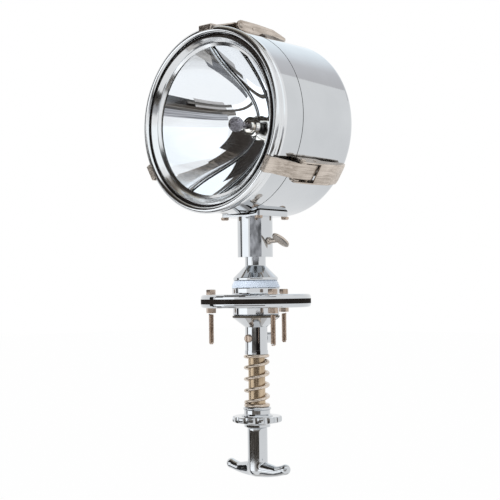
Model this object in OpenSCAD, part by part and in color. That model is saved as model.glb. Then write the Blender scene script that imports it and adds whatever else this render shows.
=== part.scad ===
// Marine searchlight on a through-roof ball joint, worked from inside by a T handle.
// Millimetres, +Z up, the lens faces -Y.
// The origin is on the spindle's axis, at the underside of the roof gasket.

/* [Roof flange] */
// Diameter of both flange plates and of the gasket
flange_d = 102; // [90:1:130]
// Thickness of the upper flange plate
upper_plate_t = 4.2; // [3:0.1:7]
// Thickness of the lower flange plate
lower_plate_t = 3.5; // [3:0.1:5]
// Thickness of the rubber gasket
gasket_t = 4.5; // [2:0.1:6]
// Height of the upper neck above its plate
upper_neck_h = 5.9; // [4:0.1:6.2]
// Wall of the upper neck around the nylon dome
upper_neck_wall = 3.2; // [2.5:0.1:5]
// Distance from a bolt's axis to the edge of the flange
bolt_edge = 8.7; // [7:0.1:12]
// Number of clamp bolts
bolt_count = 3; // [3:1:6]
// Diameter of the clamp bolts
bolt_d = 5; // [4:0.1:6]
// Width across flats of the hex heads and nuts
hex_flats = 8; // [7.5:0.1:11]
// Free thread below the nuts
bolt_tail = 29; // [15:1:45]

/* [Ball joint] */
// Height of the ball's centre above the gasket
ball_rise = 4.5; // [2:0.1:5]
// Radius of the nylon dome
dome_r = 23.3; // [23:0.1:27]
// Radius of the rounded seat under the lower flange
seat_r = 28.4; // [26:0.1:29]
// Largest tilt each way, in degrees
tilt_max = 15; // [8:1:16]
// Gap between the sliding spheres
ball_gap = 0.3; // [0.2:0.05:0.5]
// Outer radius of the bell's rim
bell_rim_r = 20.7; // [20.6:0.1:23]
// Height of the bell's rim above the ball's centre
bell_rim_rise = 12.6; // [12.4:0.1:15.5]
// Height of the bell's upright rim band
bell_rim_h = 2.4; // [1.5:0.1:4]
// Outer radius of the clamp cup's rim
cup_rim_r = 21.6; // [21.4:0.1:25]
// Depth of the clamp cup's rim below the ball's centre
cup_rim_drop = 19.8; // [18.2:0.1:20.5]
// Height of the clamp cup's upright rim band
cup_rim_h = 2; // [1.5:0.1:4]
// Height of the clamp cup's cone
cup_cone_h = 8.7; // [6.5:0.1:12]

/* [Spindle and tension] */
// Outer radius of the spindle tube
spindle_r = 7.8; // [7:0.1:9.4]
// Wall of the spindle tube
spindle_wall = 2.5; // [1.5:0.1:3.5]
// Wall of the clamp cup's sleeve
sleeve_wall = 2.4; // [1.5:0.1:3]
// Length of the clamp cup's sleeve below its cone
sleeve_len = 25; // [24:0.5:40]
// Travel of the clamp cup against the spring
cup_travel = 8; // [4:0.5:9]
// Diameter of the cross bolt
cross_d = 5; // [4:0.1:6]
// Length of the spring as fitted
spring_len = 48.5; // [38:0.5:60]
// Diameter of the spring wire
wire_d = 3.2; // [2.5:0.1:3.6]
// Number of spring turns
spring_turns = 6; // [4:0.25:8]
// Radius of the tension nut's hand flange
nut_flange_r = 22.8; // [20:0.1:26]
// Thickness of the tension nut's hand flange
nut_flange_t = 5.5; // [4:0.1:8]
// Number of scallops round the tension nut
nut_scallops = 14; // [10:1:18]
// Wall of the tension nut's hubs around the spindle
nut_wall = 4.2; // [3.5:0.1:6]

/* [T handle] */
// Length of the handle's shank
shank_len = 32.6; // [24:0.1:40]
// Span of the handle between the middles of its tips
handle_span = 66; // [56:1:80]
// Radius of the handle's bar
bar_r = 4.6; // [4:0.1:6]
// Height of the tips above the middle of the bar
tip_rise = 5; // [3:0.5:8]

/* [Stem and saddle] */
// Wall of the stem tube around the spindle
stem_wall = 1.75; // [1.5:0.05:3]
// Stem left bare between bell and collar
stem_bare = 7.9; // [5:0.1:14]
// Wall of the collar around the stem
collar_wall = 6.7; // [4:0.05:8]
// Length of the collar
collar_len = 37; // [34:0.5:50]
// Solid top of the collar above the stem's end
collar_cap = 9.5; // [6:0.5:12]
// Thickness of the saddle plate under the drum's lowest line
saddle_t = 1.5; // [1.2:0.1:4]
// Width of the saddle plate across the drum
saddle_w = 47; // [44:0.5:60]
// Length of the saddle plate along the drum
saddle_l = 42; // [40:0.5:55]
// Distance from a saddle screw to the edges of the plate
saddle_screw_edge = 2.6; // [2.4:0.1:4]
// Thickness of the seat between saddle and drum
saddle_gasket_t = 0.8; // [0.5:0.1:2]
// Distance of the thumbscrew below the saddle plate
thumb_drop = 22.4; // [16:0.1:26]

/* [Head] */
// Outer radius of the drum
drum_r = 82.2; // [74:0.1:90]
// Wall of the drum, the door and the reflector's rim
sheet_t = 1.2; // [0.8:0.1:2]
// Distance from the spindle's axis forward to the seam
seam_f = 28; // [21:0.5:30]
// Distance from the spindle's axis back to the drum's rear face
rear_f = 47; // [44:0.5:60]
// Radius of the drum's rear edge
rear_edge_r = 8; // [5:0.5:12]
// Length of the door's band in front of the seam
band_len = 22; // [20:0.5:34]
// Height of the rim's bead above the drum
rim_proud = 1.5; // [1.2:0.1:5]
// Radius of the bead's section
bead_r = 3.2; // [2.6:0.1:3.4]
// Radius of the clear opening in front of the lens
aperture_r = 70; // [64:0.5:71]
// Thickness of the glass
glass_t = 3.8; // [3:0.1:5]
// Width of the reflector's flat rim behind the glass
dish_rim_w = 8.5; // [6:0.1:12]
// Focal length of the reflector
focal_len = 24.5; // [22:0.5:30]
// Radius of the bulb's globe
globe_r = 7.2; // [5:0.1:9]

/* [Latches] */
// Width of a strap
strap_w = 14.6; // [11:0.1:16]
// Thickness of strap, ears and lever sheet
latch_t = 1.2; // [1:0.1:1.6]
// Diameter of the latch pins and rivets
pin_d = 3; // [2.5:0.1:3.2]
// Distance from the spindle's axis forward to the lever's pivot
pivot_f = 27; // [26:0.5:28]
// Height of the lever's pivot above the drum
pivot_rise = 7.3; // [7:0.1:9]
// Distance from the lever's pivot back to the strap's pin
throw_len = 17; // [16:0.5:19]
// Distance from the spindle's axis back to the lever's tail
tail_back = 38; // [34:0.5:42]

/* [Hidden] */
$fn = 96;
eps = 0.01;

// Clearances
running_fit = 0.05;
slide_fit = 0.1;
bolt_clear = 0.2;
side_gap = 0.3;

// Finishes
chrome = "gainsboro";
nickel = "tan";
brass = "darkgoldenrod";

// Heights of the roof flange, from the gasket's underside up
flange_r = flange_d / 2;
bolt_circle_r = flange_r - bolt_edge;
bolt_r = bolt_d / 2;
thread_cut = 0.35;
bolt_tail_r = bolt_r - thread_cut;
head_h = 4.8;
plate_top = gasket_t + upper_plate_t;
neck_top = plate_top + upper_neck_h;
nut_bottom = -lower_plate_t - head_h;
hex_r = hex_flats / sqrt(3);
first_bolt = 92.5;
plate_round = 2.6;
edge_round = 1.5;
lip_round = 0.6;

// Ball joint
ball_z = gasket_t + ball_rise;
open_room = 0.6;
open_reach = spindle_r + open_room * cos(tilt_max);
dome_open_r = dome_r * sin(tilt_max + asin(open_reach / dome_r));
seat_open_r = seat_r * sin(tilt_max + asin(open_reach / seat_r));
lip_gap = 0.2;
dome_lip_z = neck_top + lip_gap;
dome_lip_r = sqrt(dome_r * dome_r - pow(dome_lip_z - ball_z, 2));
neck_bore_r = dome_lip_r - upper_neck_wall - lip_round;
upper_neck_r = neck_bore_r + upper_neck_wall;
spigot_r = neck_bore_r - slide_fit;
spigot_len = 6.5;
seat_edge_angle = 49;
lower_neck_r = seat_r * sin(seat_edge_angle);

// Bell and stem
bell_rim_z = ball_z + bell_rim_rise;
stem_r = spindle_r + running_fit + stem_wall;
bell_top_z = bell_rim_z + bell_rim_h + bell_rim_r - stem_r;
collar_z = bell_top_z + stem_bare;
saddle_z = collar_z + collar_len;
stem_top = saddle_z - collar_cap - side_gap;
stem_socket = 24;
spindle_top = bell_top_z + stem_socket;
spindle_bore_r = spindle_r - spindle_wall;

// Clamp cup, spring, nut and handle, from the ball down
cup_rim_z = ball_z - cup_rim_drop;
cup_cone_z = cup_rim_z - cup_rim_h - cup_cone_h;
sleeve_bore_r = spindle_r + slide_fit;
sleeve_r = sleeve_bore_r + sleeve_wall;
sleeve_end = cup_cone_z - sleeve_len;
lip_r = sleeve_r + 0.5;
lip_h = 3.5;
cross_drop = 10.3;
cross_z = cup_cone_z - cross_drop;
cross_r = cross_d / 2;
nut_z = sleeve_end - spring_len;
coil_room = 1;
coil_r = spindle_r + coil_room + wire_d / 2;
nut_hub_h = 8.2;
nut_foot_h = 4.4;
nut_hub_r = spindle_r + nut_wall;
nut_end = nut_z - nut_hub_h - nut_flange_t - nut_foot_h;
shank_room = 0.3;
shank_top = nut_end - shank_room;
shank_r = spindle_r + 1.4;
shank_end = shank_top - shank_len;
shank_spigot = 18;
bar_drop = 4;
bar_z = shank_end - bar_r - bar_drop;
tip_r = bar_r + 0.3;
bar_bend_r = (handle_span * handle_span / 4 + tip_rise * tip_rise) / (2 * tip_rise);
bar_half_angle = asin(handle_span / 2 / bar_bend_r);

// Saddle and thumbscrew
head_z = saddle_z + saddle_t + saddle_gasket_t + drum_r;
collar_bore_r = stem_r + running_fit;
collar_r = collar_bore_r + collar_wall;
wire_hole_r = 5;
screw_x = saddle_w / 2 - saddle_screw_edge;
screw_y = saddle_l / 2 - saddle_screw_edge;
screw_r = 2;
screw_head_r = 3.6;
screw_head_h = 2.6;
saddle_corner_r = 3;
thumb_z = saddle_z - thumb_drop;
thumb_r = 2.6;
thumb_neck_len = 11.2;
blade_r = 4.6;
blade_shift = 6.2;
blade_t = 3;
blade_turn = 60;

// Head, measured forward from the spindle's axis
band_step = 0.4;
band_r = drum_r + band_step;
band_f = seam_f + band_len;
seam_gap = 0.8;
step_len = 6;
door_room = 2.9;
lens_room = 1.8;
rim_r = drum_r + rim_proud;
bead_ahead = 9.8;
bead_f = band_f + bead_ahead;
rim_front = bead_f + bead_r;
groove_cut = 1;
groove_r = band_r - groove_cut;
lens_room_r = band_r - sheet_t - door_room;
gasket_lip = 1;
lens_back = band_f + gasket_lip;
lens_front = lens_back + glass_t;
seat_f = lens_front + gasket_lip;
lens_r = lens_room_r - lens_room;
spigot_out_r = band_r - sheet_t - side_gap;
dish_f = band_f - sheet_t;
dish_r = lens_room_r - dish_rim_w;
vertex_f = dish_f - dish_r * dish_r / (4 * focal_len);
dish_t = 0.8;
dish_hole_r = 9.2;
globe_ahead = 9.5;
socket_r = dish_hole_r - side_gap;
socket_flange_r = 13;
socket_flange_t = 2;
socket_back = 15;
socket_front = 6;
cap_r = 6;
cap_depth = 9;
back_border = 12;
back_panel_r = drum_r - rear_edge_r - back_border;
back_step = 2;

// Latches, radial heights from the drum's axis, and angles from the top
latch_angles = [0, 123, 240];
pin_r = pin_d / 2;
strap_gap = 0.4;
strap_low = rim_r + strap_gap;
eye_r = pin_r + slide_fit + latch_t;
pin_y = throw_len - pivot_f;
pivot_z = drum_r + pivot_rise;
over_centre = 0.7;
pin_z = pivot_z - over_centre;
ear_in = strap_w / 2 + strap_gap;
ear_out = ear_in + latch_t;
cheek_in = ear_out + 2 * slide_fit;
cheek_out = cheek_in + latch_t;
bracket_t = 1.8;
ear_r = 4.2;
cheek_r = 4.6;
hook_drop = 4.2;
strap_end = pin_y + 4;
web_start = strap_end + 2 * strap_gap;
lever_top = pivot_z + cheek_r - side_gap;
lever_low = drum_r + 1.6;

// Points of a round stretch of an outline
function arc(x, y, r, from, to, n) =
  [for (i = [0 : n]) [x + r * cos(from + (to - from) * i / n), y + r * sin(from + (to - from) * i / n)]];

// Copies on the bolt circle
module on_bolt_circle() {
  for (i = [0 : bolt_count - 1])
    rotate(first_bolt + i * 360 / bolt_count)
      translate([bolt_circle_r, 0, 0])
        children();
}

module bolt_holes(low, high) {
  on_bolt_circle()
    translate([0, 0, low - eps])
      cylinder(r = bolt_r + bolt_clear, h = high - low + 2 * eps);
}

module hex(h) {
  cylinder(r = hex_r, h = h, $fn = 6);
}

// The drum's frame: local +Z points forward out of the lens
module along_lens() {
  translate([0, 0, head_z])
    rotate([90, 0, 0])
      children();
}

// A latch's frame: +Z points out of the drum, +Y to its back
module at_latch(angle) {
  translate([0, 0, head_z])
    rotate([0, angle, 0])
      children();
}

// An outline in a latch's Y and Z, as thick as from x0 to x1
module side_plate(x0, x1) {
  translate([x0, 0, 0])
    rotate([90, 0, 90])
      linear_extrude(x1 - x0)
        children();
}

module cross_pin(y, z, r, x0, x1) {
  translate([x0, y, z])
    rotate([0, 90, 0])
      cylinder(r = r, h = x1 - x0);
}

// Roof flange

module upper_flange() {
  color(chrome)
    difference() {
      rotate_extrude()
        polygon(concat(
          [[neck_bore_r, gasket_t], [flange_r, gasket_t]],
          arc(flange_r - plate_round, plate_top - plate_round, plate_round, 0, 90, 6),
          arc(upper_neck_r + edge_round, plate_top + edge_round, edge_round, 270, 180, 5),
          arc(upper_neck_r - lip_round, neck_top - lip_round, lip_round, 0, 90, 3),
          [[neck_bore_r, neck_top]]
        ));
      bolt_holes(gasket_t, plate_top);
    }
}

module deck_gasket() {
  color("black")
    difference() {
      cylinder(r = flange_r, h = gasket_t);
      translate([0, 0, -eps])
        cylinder(r = neck_bore_r, h = gasket_t + 2 * eps);
      bolt_holes(0, gasket_t);
    }
}

module lower_flange() {
  boss_len = seat_r - ball_z;
  color(chrome)
    difference() {
      union() {
        rotate_extrude()
          polygon(concat(
            [[0, 0], [flange_r, 0]],
            arc(flange_r - plate_round, plate_round - lower_plate_t, plate_round, 0, -90, 6),
            [[0, -lower_plate_t]]
          ));
        intersection() {
          translate([0, 0, ball_z])
            sphere(r = seat_r);
          translate([0, 0, -boss_len - 1])
            cylinder(r = lower_neck_r, h = boss_len + 1 - lower_plate_t / 2);
        }
      }
      translate([0, 0, -boss_len - 1])
        cylinder(r = seat_open_r, h = boss_len + 2);
      bolt_holes(-lower_plate_t, 0);
    }
}

module deck_bolts() {
  color(nickel)
    on_bolt_circle() {
      translate([0, 0, plate_top])
        hex(head_h);
      translate([0, 0, nut_bottom])
        cylinder(r = bolt_r, h = plate_top - nut_bottom + eps);
      translate([0, 0, nut_bottom - bolt_tail])
        cylinder(r = bolt_tail_r, h = bolt_tail + eps);
    }
}

module deck_nuts() {
  color(nickel)
    on_bolt_circle()
      translate([0, 0, nut_bottom])
        difference() {
          hex(head_h);
          translate([0, 0, -eps])
            cylinder(r = bolt_r + running_fit, h = head_h + 2 * eps);
        }
}

// Ball joint

module bearing_dome() {
  color("ivory")
    difference() {
      union() {
        intersection() {
          translate([0, 0, ball_z])
            sphere(r = dome_r);
          translate([0, 0, dome_lip_z])
            cylinder(r = dome_r, h = dome_r);
        }
        translate([0, 0, dome_lip_z - spigot_len])
          cylinder(r = spigot_r, h = spigot_len + 0.5);
      }
      translate([0, 0, dome_lip_z - spigot_len - eps])
        cylinder(r = dome_open_r, h = 2 * dome_r);
    }
}

module stem_bell() {
  color(chrome)
    difference() {
      rotate_extrude()
        polygon([
          [0, bell_rim_z], [bell_rim_r, bell_rim_z], [bell_rim_r, bell_rim_z + bell_rim_h],
          [stem_r, bell_top_z], [stem_r, stem_top], [0, stem_top]
        ]);
      translate([0, 0, ball_z])
        sphere(r = dome_r + ball_gap);
      translate([0, 0, ball_z])
        cylinder(r = spindle_r + running_fit, h = spindle_top - ball_z);
      translate([0, 0, ball_z])
        cylinder(r = spindle_bore_r, h = stem_top - ball_z + 1);
    }
}

module spindle_tube() {
  slot_low = cross_z - cup_travel - running_fit;
  slot_high = cross_z + running_fit;
  color(brass)
    difference() {
      translate([0, 0, shank_top])
        cylinder(r = spindle_r, h = spindle_top - shank_top);
      translate([0, 0, shank_top - eps])
        cylinder(r = spindle_bore_r, h = spindle_top - shank_top + 2 * eps);
      for (z = [slot_low, slot_high])
        translate([0, 0, z])
          rotate([90, 0, 0])
            cylinder(r = cross_r + slide_fit, h = 4 * spindle_r, center = true);
      translate([-cross_r - slide_fit, -2 * spindle_r, slot_low])
        cube([2 * (cross_r + slide_fit), 4 * spindle_r, slot_high - slot_low]);
    }
}

module clamp_cup() {
  color(chrome)
    difference() {
      rotate_extrude()
        polygon([
          [0, cup_rim_z], [cup_rim_r, cup_rim_z], [cup_rim_r, cup_rim_z - cup_rim_h],
          [sleeve_r, cup_cone_z], [sleeve_r, sleeve_end + lip_h], [lip_r, sleeve_end + lip_h],
          [lip_r, sleeve_end], [0, sleeve_end]
        ]);
      translate([0, 0, ball_z])
        sphere(r = seat_r + ball_gap);
      translate([0, 0, sleeve_end - eps])
        cylinder(r = sleeve_bore_r, h = ball_z - sleeve_end);
      translate([0, 0, cross_z])
        rotate([90, 0, 0])
          cylinder(r = cross_r + running_fit, h = 4 * sleeve_r, center = true);
    }
}

// The cross bolt runs from its slotted head in front to its domed nut behind
module cross_bolt() {
  cross_head_r = cross_r + 1.2;
  cross_head_h = 2.8;
  head_round = 1;
  slot_w = 1;
  slot_depth = 1.2;
  cross_end = sleeve_r + 12;
  color(nickel)
    translate([0, 0, cross_z])
      rotate([90, 0, 0])
        difference() {
          union() {
            translate([0, 0, -cross_end])
              cylinder(r = cross_r, h = cross_end + sleeve_r + eps);
            translate([0, 0, sleeve_r])
              rotate_extrude()
                polygon(concat(
                  [[0, 0], [cross_head_r, 0]],
                  arc(cross_head_r - head_round, cross_head_h - head_round, head_round, 0, 90, 4),
                  [[0, cross_head_h]]
                ));
          }
          translate([-slot_w / 2, -2 * cross_head_r, sleeve_r + cross_head_h - slot_depth])
            cube([slot_w, 4 * cross_head_r, 2 * slot_depth]);
        }
}

module cross_nut() {
  barrel_r = 5.2;
  barrel_len = 9;
  bore_len = barrel_len + 3.3;
  color(chrome)
    translate([0, 0, cross_z])
      rotate([-90, 0, 0])
        translate([0, 0, sleeve_r])
          difference() {
            union() {
              cylinder(r = barrel_r, h = barrel_len);
              translate([0, 0, barrel_len])
                sphere(r = barrel_r);
            }
            translate([0, 0, -barrel_r])
              cylinder(r = cross_r + running_fit, h = bore_len + barrel_r);
          }
}

// A round wire swept along the coil, with a closed turn at each end
module tension_spring() {
  sides = 8;
  steps = round(spring_turns * 16);
  wire_r = wire_d / 2;
  low = nut_z + wire_r;
  rise = spring_len - wire_d;
  first_turn = 180;
  closed = 0.75 / spring_turns;
  ease = 0.2;
  // Share of the open turns passed, then height as a share of the rise, flat over the closed ends
  function passed(t) = max(0, min(1, (t - closed) / (1 - 2 * closed)));
  function climb(t) = ease * (1 - cos(180 * passed(t))) / 2 + (1 - ease) * passed(t);
  function spot(t, side) =
    let (turn = first_turn + 360 * spring_turns * t, out = coil_r + wire_r * cos(360 * side / sides))
    [out * cos(turn), out * sin(turn), low + rise * climb(t) + wire_r * sin(360 * side / sides)];
  points = [for (i = [0 : steps], s = [0 : sides - 1]) spot(i / steps, s)];
  walls = [for (i = [0 : steps - 1], s = [0 : sides - 1])
    [i * sides + s, i * sides + (s + 1) % sides, (i + 1) * sides + (s + 1) % sides, (i + 1) * sides + s]];
  first_end = [for (s = [sides - 1 : -1 : 0]) s];
  last_end = [for (s = [0 : sides - 1]) steps * sides + s];
  color(nickel)
    polyhedron(points, concat(walls, [first_end, last_end]), convexity = 8);
}

module tension_nut() {
  scallop_r = 3.6;
  scallop_out = 2;
  flange_low = nut_z - nut_hub_h - nut_flange_t;
  color(chrome)
    difference() {
      union() {
        translate([0, 0, nut_end])
          cylinder(r = nut_hub_r, h = nut_z - nut_end);
        translate([0, 0, flange_low])
          difference() {
            rotate_extrude()
              polygon(concat(
                [[0, 0], [nut_flange_r - edge_round, 0]],
                arc(nut_flange_r - edge_round, edge_round, edge_round, 270, 360, 4),
                arc(nut_flange_r - edge_round, nut_flange_t - edge_round, edge_round, 0, 90, 4),
                [[0, nut_flange_t]]
              ));
            for (i = [0 : nut_scallops - 1])
              rotate(i * 360 / nut_scallops)
                translate([nut_flange_r + scallop_out, 0, -1])
                  cylinder(r = scallop_r, h = nut_flange_t + 2);
          }
      }
      translate([0, 0, nut_end - eps])
        cylinder(r = spindle_r + running_fit, h = nut_z - nut_end + 2 * eps);
    }
}

// The bar is a shallow arc with knobbed tips, and each arm swells into the shank's foot
module t_handle() {
  bend_z = bar_z + bar_bend_r;
  foot_round = 7;
  root_r = shank_r - 1.6;
  foot_low = bar_z - bar_r + side_gap;
  root_z = foot_low + root_r + side_gap;
  root_angle = bar_half_angle * 2 / 3;
  arm_x = bar_bend_r * sin(root_angle);
  arm_rise = bend_z - bar_bend_r * cos(root_angle) - root_z;
  root_tilt = atan2(arm_rise, arm_x);
  module at_bar(angle) {
    translate([0, 0, bend_z])
      rotate([0, angle, 0])
        translate([0, 0, -bar_bend_r])
          children();
  }
  color(chrome) {
    rotate_extrude()
      polygon(concat(
        [[0, shank_top], [shank_r, shank_top]],
        arc(shank_r - foot_round, foot_low + foot_round, foot_round, 0, -90, 6),
        [[0, foot_low]]
      ));
    translate([0, 0, shank_top - 1])
      cylinder(r = spindle_bore_r - running_fit, h = shank_spigot + 1);
    intersection() {
      translate([0, 0, bend_z])
        rotate([90, 0, 0])
          rotate_extrude($fn = 192)
            translate([bar_bend_r, 0])
              circle(r = bar_r);
      translate([-handle_span / 2, -2 * bar_r, bar_z - 2 * bar_r])
        cube([handle_span, 4 * bar_r, tip_rise + 4 * bar_r]);
    }
    for (side = [-1, 1]) {
      at_bar(side * bar_half_angle)
        sphere(r = tip_r);
      translate([0, 0, root_z])
        rotate([0, side * (90 - root_tilt), 0])
          cylinder(r1 = root_r, r2 = bar_r + slide_fit, h = norm([arm_x, arm_rise]));
    }
  }
}

// Stem saddle

module at_saddle_screws() {
  for (x = [-screw_x, screw_x], y = [-screw_y, screw_y])
    translate([x, y, saddle_z])
      children();
}

module saddle_block(z0, z1) {
  translate([0, 0, z0])
    linear_extrude(z1 - z0) {
      square([saddle_w - 2 * saddle_corner_r, saddle_l], center = true);
      square([saddle_w, saddle_l - 2 * saddle_corner_r], center = true);
      for (x = [-1, 1], y = [-1, 1])
        translate([x * (saddle_w / 2 - saddle_corner_r), y * (saddle_l / 2 - saddle_corner_r)])
          circle(r = saddle_corner_r);
    }
}

module saddle_holes(r) {
  at_saddle_screws()
    translate([0, 0, -1])
      cylinder(r = r, h = 20);
}

module wire_hole(z0) {
  translate([0, 0, z0])
    cylinder(r = wire_hole_r, h = head_z - z0 - drum_r / 2);
}

module drum_bar(r) {
  along_lens()
    cylinder(r = r, h = 2 * saddle_l, center = true);
}

module saddle_bracket() {
  color(chrome)
    difference() {
      union() {
        translate([0, 0, collar_z])
          cylinder(r = collar_r, h = collar_len + 1);
        saddle_block(saddle_z, saddle_z + drum_r / 8);
      }
      drum_bar(drum_r + saddle_gasket_t);
      translate([0, 0, collar_z - eps])
        cylinder(r = collar_bore_r, h = saddle_z - collar_cap - collar_z);
      wire_hole(stem_top);
      translate([0, 0, thumb_z])
        rotate([0, 90, 0])
          cylinder(r = thumb_r + running_fit, h = 2 * collar_r);
      saddle_holes(screw_r + bolt_clear);
    }
}

module saddle_gasket() {
  color("dimgray")
    difference() {
      intersection() {
        drum_bar(drum_r + saddle_gasket_t);
        saddle_block(saddle_z, saddle_z + drum_r / 4);
      }
      drum_bar(drum_r);
      wire_hole(stem_top);
      saddle_holes(screw_r + bolt_clear);
    }
}

module saddle_screws() {
  bite = 4;
  head_round = 1.2;
  reach = saddle_t + saddle_gasket_t + drum_r - sqrt(drum_r * drum_r - screw_x * screw_x) + bite;
  color(chrome)
    at_saddle_screws() {
      cylinder(r = screw_r, h = reach);
      translate([0, 0, -screw_head_h])
        rotate_extrude()
          polygon(concat(
            [[0, 0]],
            arc(screw_head_r - head_round, head_round, head_round, 270, 360, 4),
            [[screw_head_r, screw_head_h], [0, screw_head_h]]
          ));
    }
}

module thumbscrew() {
  tip = stem_r + side_gap;
  shoulder = collar_r + side_gap;
  neck_in = 1;
  blade_mid = shoulder + thumb_neck_len + blade_r - neck_in;
  color(nickel)
    translate([0, 0, thumb_z])
      rotate([0, 90, 0])
        rotate(blade_turn) {
          translate([0, 0, tip])
            cylinder(r = thumb_r, h = shoulder - tip + eps);
          translate([0, 0, shoulder])
            cylinder(r1 = thumb_r + 0.8, r2 = thumb_r - 0.4, h = thumb_neck_len + neck_in);
          translate([0, blade_t / 2, blade_mid])
            rotate([90, 0, 0])
              linear_extrude(blade_t)
                polygon(concat(
                  arc(blade_shift, 0, blade_r, -90, 90, 16),
                  arc(-blade_shift, 0, blade_r, 90, 270, 16)
                ));
        }
}

// Head

module rear_housing() {
  inner_r = drum_r - sheet_t;
  spigot_root = 2.5;
  step_f = seam_f - spigot_root;
  color(chrome)
    difference() {
      along_lens()
        rotate_extrude()
          polygon(concat(
            [[0, back_step - rear_f], [back_panel_r, back_step - rear_f],
             [back_panel_r + back_step, -rear_f]],
            arc(drum_r - rear_edge_r, rear_edge_r - rear_f, rear_edge_r, 270, 360, 8),
            [[drum_r, seam_f], [spigot_out_r, seam_f], [spigot_out_r, seam_f + step_len],
             [spigot_out_r - sheet_t, seam_f + step_len], [spigot_out_r - sheet_t, step_f],
             [inner_r, step_f - 1]],
            arc(drum_r - rear_edge_r, rear_edge_r - rear_f, rear_edge_r - sheet_t, 360, 270, 8),
            [[back_panel_r + back_step - 0.5, sheet_t - rear_f],
             [back_panel_r - 0.5, back_step + sheet_t - rear_f], [0, back_step + sheet_t - rear_f]]
          ));
      wire_hole(stem_top);
      saddle_holes(screw_r + bolt_clear);
    }
}

module front_band() {
  color(chrome)
    along_lens()
      translate([0, 0, seam_f + seam_gap])
        difference() {
          cylinder(r = band_r, h = band_len - seam_gap);
          translate([0, 0, -eps])
            cylinder(r = band_r - sheet_t, h = band_len);
        }
}

// Rolled rim: groove, bead, and stepped slope down to the clear opening
module bezel() {
  slope_f = seat_f + sheet_t;
  chamfer = 0.8;
  groove_back = band_f + 2.6;
  groove_front = bead_f - bead_r - 0.2;
  bead_in = rim_r - 2 * bead_r;
  ledge_f = rim_front - 1.6;
  moat_in = bead_in - 2.7;
  moat_f = seat_f + 2.4;
  ledge_in = moat_in - 1.2;
  step_in = ledge_in - 1.2;
  step_f = ledge_f - 1.6;
  color(chrome)
    along_lens()
      rotate_extrude() {
        polygon([
          [lens_room_r, band_f], [band_r, band_f], [band_r, groove_back],
          [groove_r, groove_back + groove_cut], [groove_r, groove_front],
          [rim_r - bead_r, bead_f - bead_r], [rim_r - bead_r, bead_f],
          [bead_in + 0.9, moat_f], [moat_in, moat_f], [moat_in, ledge_f],
          [ledge_in, ledge_f], [step_in, step_f],
          [aperture_r + chamfer, slope_f + chamfer], [aperture_r, slope_f], [aperture_r, seat_f],
          [lens_room_r, seat_f]
        ]);
        translate([rim_r - bead_r, bead_f])
          circle(r = bead_r, $fn = 48);
      }
}

module lens_gasket() {
  lip_w = 2;
  lip_in = lens_r - lip_w;
  color("black")
    along_lens()
      rotate_extrude()
        polygon([
          [lip_in, band_f], [lens_room_r, band_f], [lens_room_r, seat_f], [lip_in, seat_f],
          [lip_in, lens_front], [lens_r, lens_front], [lens_r, lens_back], [lip_in, lens_back]
        ]);
}

module lens() {
  color("lightcyan", 0.4)
    along_lens()
      translate([0, 0, lens_back])
        cylinder(r = lens_r, h = glass_t);
}

// Paraboloid dish with a flat rim behind the glass
module reflector() {
  rings = 18;
  function dish(r) = vertex_f + r * r / (4 * focal_len);
  radii = [for (i = [0 : rings]) dish_hole_r + (dish_r - dish_hole_r) * i / rings];
  color("whitesmoke")
    along_lens()
      rotate_extrude()
        polygon(concat(
          [for (r = radii) [r, dish(r)]],
          [[dish_r, band_f], [lens_room_r, band_f], [lens_room_r, band_f - dish_t],
           [dish_r + dish_t, band_f - dish_t]],
          [for (i = [rings : -1 : 0]) [radii[i] + (i == rings ? dish_t : 0), dish(radii[i]) - dish_t]]
        ));
}

module bulb() {
  // The filament sits at the focus, in the globe's neck
  globe_f = vertex_f + focal_len + globe_ahead;
  cap_low = vertex_f - cap_depth;
  cap_high = vertex_f + cap_depth;
  color("lightyellow")
    along_lens() {
      translate([0, 0, cap_low])
        cylinder(r = cap_r, h = cap_high - cap_low);
      translate([0, 0, cap_high - eps])
        cylinder(r1 = cap_r - 0.6, r2 = globe_r * 0.7, h = globe_f - cap_high);
      translate([0, 0, globe_f])
        sphere(r = globe_r);
    }
}

module lamp_socket() {
  low = vertex_f - socket_back;
  high = vertex_f + socket_front;
  flange_f = vertex_f - dish_t - side_gap;
  flange_low = flange_f - socket_flange_t;
  color(brass)
    along_lens()
      difference() {
        rotate_extrude()
          polygon([
            [0, low], [socket_r, low], [socket_r, flange_low], [socket_flange_r, flange_low],
            [socket_flange_r, flange_f], [socket_r, flange_f], [socket_r, high], [0, high]
          ]);
        translate([0, 0, vertex_f - cap_depth])
          cylinder(r = cap_r + running_fit, h = cap_depth + socket_front + 1);
      }
}

// Latches

// Base on the drum behind the seam, with ears that lean over the seam to the pivot
module latch_bracket() {
  base_front = seam_f - 1.5;
  base_back = 2;
  ear_back = 6;
  sink = 4;
  difference() {
    union() {
      translate([-ear_out, -base_front, drum_r - sink])
        cube([2 * ear_out, base_front - base_back, sink + bracket_t]);
      for (x = [-ear_out, ear_in])
        side_plate(x, x + latch_t)
          polygon(concat(
            [[-base_front, drum_r], [-ear_back, drum_r]],
            arc(-pivot_f, pivot_z, ear_r, 30, 210, 12)
          ));
    }
    rotate([90, 0, 0])
      cylinder(r = drum_r, h = 4 * base_front, center = true, $fn = 192);
    cross_pin(-pivot_f, pivot_z, pin_r, -2 * ear_out, 2 * ear_out);
  }
}

module latch_brackets() {
  color(nickel)
    for (angle = latch_angles)
      at_latch(angle)
        latch_bracket();
}

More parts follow.
